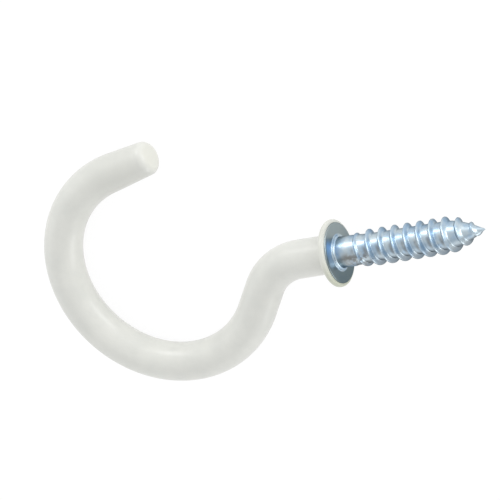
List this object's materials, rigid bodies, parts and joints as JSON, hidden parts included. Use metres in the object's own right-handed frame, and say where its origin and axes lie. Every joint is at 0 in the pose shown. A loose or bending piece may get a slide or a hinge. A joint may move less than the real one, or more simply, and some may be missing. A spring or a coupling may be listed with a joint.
{
  "type": "screw hook",
  "caption": "Screw-in cup hook: an open round bowl of plastic-coated steel wire behind a round collar, with a coarse pointed wood-screw thread in front of it.",
  "frame": {"origin": "middle of the collar's seating face, on the screw's axis", "axes": "+X along the screw towards its point, +Y in the hook's plane towards the side that the mouth opens on, +Z square to the hook's plane and up as the hook lies flat"},
  "size_m": [0.0548, 0.0289, 0.0076],
  "materials": {
    "zinc_steel": "bright zinc plate with a cool blue tint",
    "vinyl": "semi-gloss off-white dipped vinyl"
  },
  "bodies": {
    "root": {"steel_hook": "zinc_steel", "vinyl_coating": "vinyl"}
  },
  "joints": []
}
